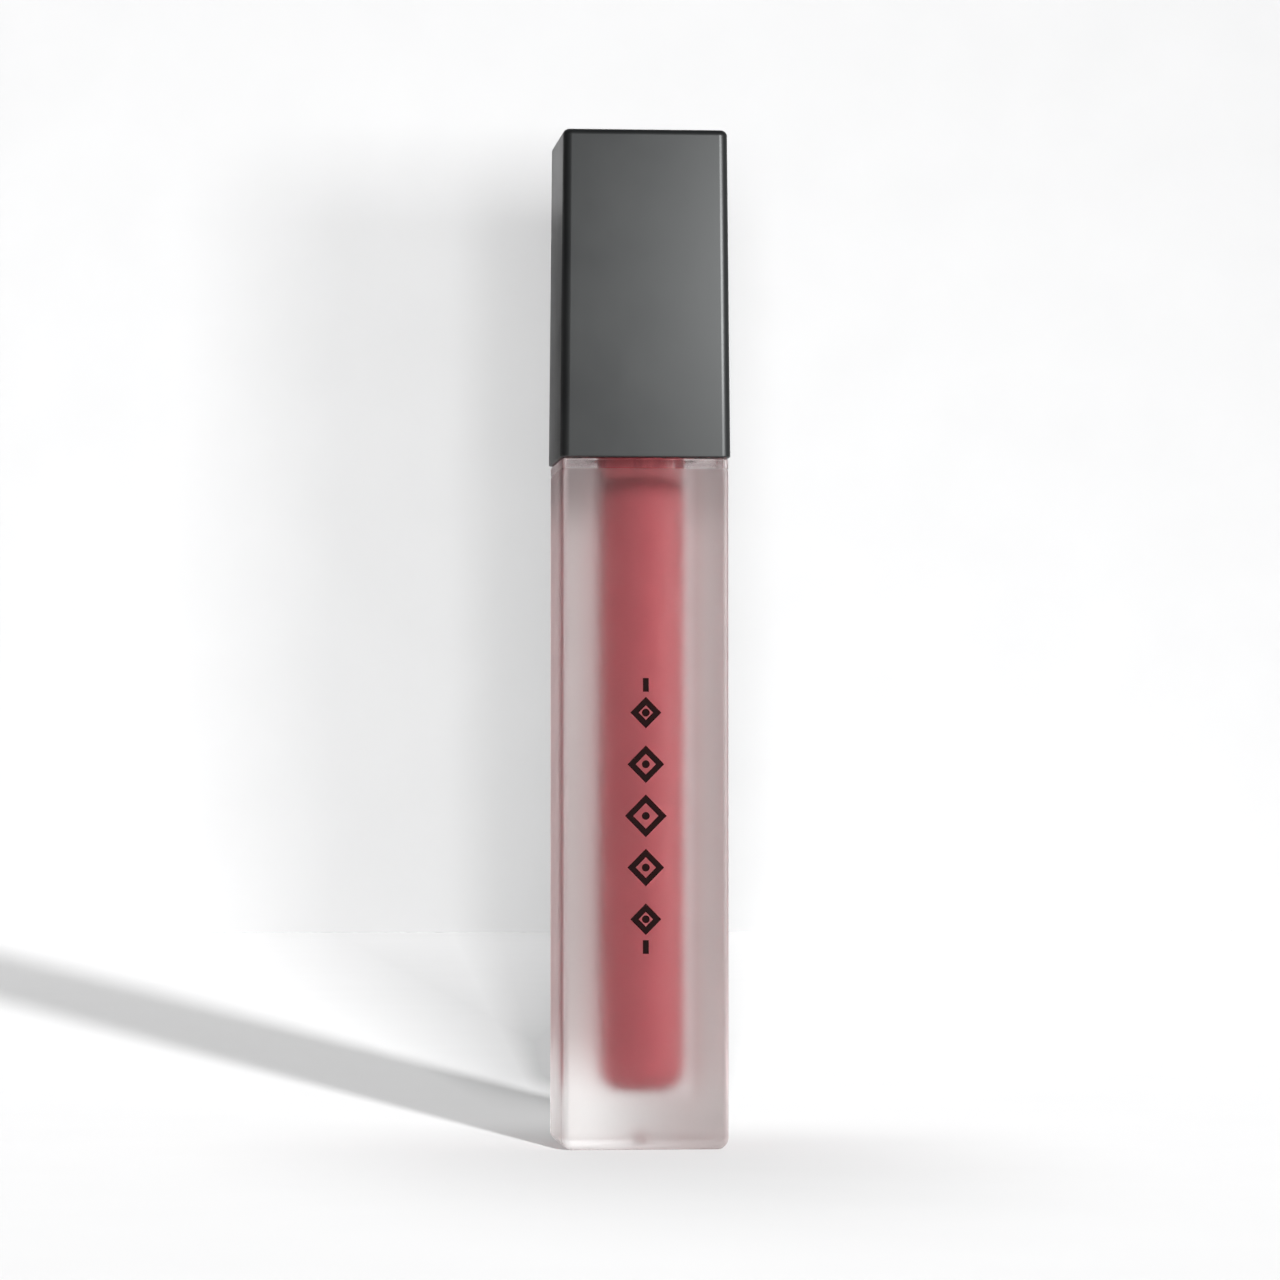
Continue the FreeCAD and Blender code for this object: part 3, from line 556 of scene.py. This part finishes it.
def sheet_of(name, corners, cuts, mat, coll):
    """Flat stage sheet between four corners, divided so that its texture and shading have points to hold."""
    bm = bmesh.new()
    a, b, c, d = [Vector(v) for v in corners]
    rows = []
    for i in range(cuts + 1):
        u = i / cuts
        rows.append([bm.verts.new((a.lerp(b, v / cuts)).lerp(d.lerp(c, v / cuts), u)) for v in range(cuts + 1)])
    for r, s in zip(rows, rows[1:]):
        for i in range(cuts):
            bm.faces.new((r[i], r[i + 1], s[i + 1], s[i]))
    o = mesh_object(name, bm, mat)
    for c2 in list(o.users_collection):
        c2.objects.unlink(o)
    coll.objects.link(o)
    return o


floor = sheet_of("studio_floor", ((-3, -3, 0), (3, -3, 0), (3, WALL_Y, 0), (-3, WALL_Y, 0)), 12, stage_white("floor_white_painted_shadow", FLOOR_GLOW, [(lx, w / 2, s) for lx, w, s in FRONT]), floor_coll)
wall = sheet_of("studio_wall", ((-3, WALL_Y, 0), (3, WALL_Y, 0), (3, WALL_Y, 3), (-3, WALL_Y, 3)), 12, stage_white("wall_white", WALL_GLOW), wall_coll)

# White sheets on the other three sides, seen by the camera only, so that every view has a pale background.
for tag, corners in (("studio_left", ((-3, WALL_Y, 0), (-3, -3, 0), (-3, -3, 3), (-3, WALL_Y, 3))),
                     ("studio_right", ((3, -3, 0), (3, WALL_Y, 0), (3, WALL_Y, 3), (3, -3, 3))),
                     ("studio_front", ((3, -3, 0), (-3, -3, 0), (-3, -3, 3), (3, -3, 3)))):
    side = sheet_of(tag, corners, 6, stage_white(tag + "_white", 0.95), wall_coll)
    side.visible_diffuse = False
    side.visible_glossy = False
    side.visible_transmission = False
    side.visible_shadow = False

# ---------------------------------------------------------------- lights
world = bpy.data.worlds.new("studio")
scene.world = world
world.use_nodes = True
bg = world.node_tree.nodes["Background"]
bg.inputs["Color"].default_value = (1.0, 1.0, 1.0, 1)
bg.inputs["Strength"].default_value = 0.10


def aim(o, target):
    o.rotation_euler = (Vector(target) - o.location).to_track_quat("-Z", "Y").to_euler()


def area(name, at, target, w, h, radiance, colour=(1, 1, 1), only=None):
    d = bpy.data.lights.new(name, "AREA")
    d.shape = "RECTANGLE"
    d.size, d.size_y = w, h
    d.energy = radiance * math.pi * w * h
    d.color = colour
    o = bpy.data.objects.new(name, d)
    scene.collection.objects.link(o)
    o.location = at
    aim(o, target)
    o.visible_camera = False
    if only is not None:
        o.light_linking.receiver_collection = only
    return o


# Softbox close on the right: the gradient on the cap's satin faces.
area("cap_softbox", (0.052, -0.111, 0.1015), (0.0, -0.0085, 0.090), 0.03, 0.02, 92.0, (0.97, 1.0, 1.0), only=shell_coll)
# Broad softbox at the right side: the liquid's own shading, kept out of the front face's mirror direction.
area("side_softbox", (0.36, -0.10, 0.10), (0.0, 0.0, 0.045), 0.20, 0.30, 11.0, only=tube_coll)
area("fill_softbox", (-0.24, -0.30, 0.36), (0.0, 0.0, 0.045), 0.20, 0.20, 6.0, only=tube_coll)
# Small bounce light behind the foot on the left: the bright corner of the solid base.
area("foot_bounce", (-0.0165, 0.045, 0.004), (-0.006, 0.0, 0.003), 0.022, 0.010, 2.3, only=tube_coll)
# Softbox right of the camera: the wand and the inner pieces.
area("wand_softbox", (0.22, -0.55, 0.22), (0.0, 0.0, 0.075), 0.26, 0.50, 7.0, only=wand_coll)


# Small softboxes just right of the camera: the soft grey on the wall left of the tube.
def wall_soft(name, x, w, share):
    at = Vector((x, LIGHT_Y, 0.038))
    dist = WALL_Y - LIGHT_Y
    area(name, at, (x * 0.2, 0.0, 0.038), w, 0.018, share * math.pi / 0.35 * dist * dist / (w * 0.018), only=wall_coll)


for tag, (lx, w, s) in zip("abc", FRONT):
    wall_soft("wall_soft_" + tag, lx, w, s)

# Dark cards, seen only in reflections: one behind on the left keeps the side face dark, one at the left the upright edge.
mcard, ntc = material("dark_card")
principled(ntc, Base__Color=(0.01, 0.01, 0.01, 1), Roughness=0.9)
for tag, corners in (("dark_card_back", ((-0.014, 0.03, -0.01), (-0.40, 0.33, -0.01), (-0.40, 0.33, 0.121), (-0.014, 0.03, 0.1005))),
                     ("dark_card_side", ((-0.16, -0.30, 0.001), (-0.16, 0.06, 0.001), (-0.16, 0.06, 0.24), (-0.16, -0.30, 0.24)))):
    bm = bmesh.new()
    bm.faces.new([bm.verts.new(v) for v in corners])
    card = mesh_object(tag, bm, mcard)
    card.visible_camera = False
    card.visible_diffuse = False
    card.visible_transmission = False
    card.visible_shadow = False

# Low lamp in front, on the floor only: the long streak of shadow behind the tube, widening as it goes.
low_d = bpy.data.lights.new("low_lamp", "AREA")
low_d.shape = "DISK"
low_d.size = 0.024
low_d.energy = 71.0
low_d.use_nodes = True
low_nt = low_d.node_tree
falloff = low_nt.nodes.new("ShaderNodeLightFalloff")
falloff.inputs["Strength"].default_value = 1.0
# Even light over the whole floor: no loss with distance, and the slant of the rays made up for.
path = low_nt.nodes.new("ShaderNodeLightPath")
even = low_nt.nodes.new("ShaderNodeMath")
even.operation = "MULTIPLY"
low_nt.links.new(falloff.outputs["Constant"], even.inputs[0])
low_nt.links.new(path.outputs["Ray Length"], even.inputs[1])
low_nt.links.new(even.outputs[0], [n for n in low_nt.nodes if n.type == "EMISSION"][0].inputs["Strength"])
low = bpy.data.objects.new("low_lamp", low_d)
scene.collection.objects.link(low)
low.location = (0.6 * math.sin(math.radians(8.0)), -0.6 * math.cos(math.radians(8.0)), 0.17)
aim(low, (-0.05, 0.36, 0.0))
low.visible_camera = False
low.light_linking.receiver_collection = floor_coll
